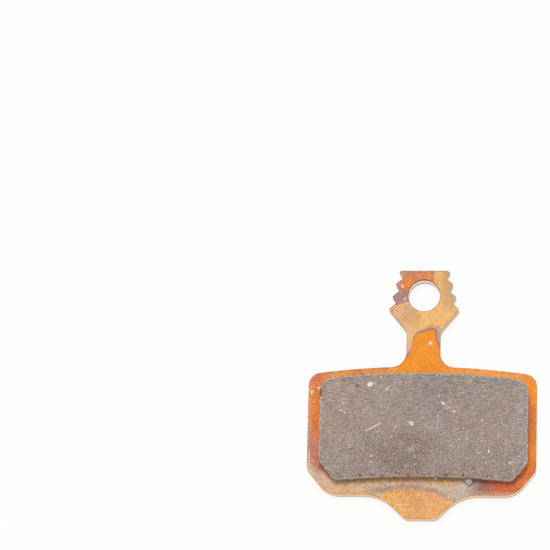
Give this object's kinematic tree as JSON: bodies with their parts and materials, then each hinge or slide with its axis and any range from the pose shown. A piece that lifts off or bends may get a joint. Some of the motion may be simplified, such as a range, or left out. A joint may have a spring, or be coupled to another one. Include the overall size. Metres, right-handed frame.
{
  "type": "bicycle disc brake pad",
  "caption": "Disc brake pad: a heat-tinted steel backing plate with a toothed ear, pin hole and pull tab, carrying a bonded sintered friction lining.",
  "frame": {"origin": "centre of the pin hole, on the plate's back face", "axes": "+Z out of the friction face, +Y from the lining to the toothed ear, +X to the right seen from the friction side"},
  "size_m": [0.0284, 0.0316, 0.0039],
  "materials": {
    "heat_tinted_steel": "satin steel with straw to orange and mauve heat tint",
    "sintered_metal": "matt ground sintered metal with fine pale grains"
  },
  "bodies": {
    "root": {"backing_plate": "heat_tinted_steel", "friction_lining": "sintered_metal"}
  },
  "joints": []
}
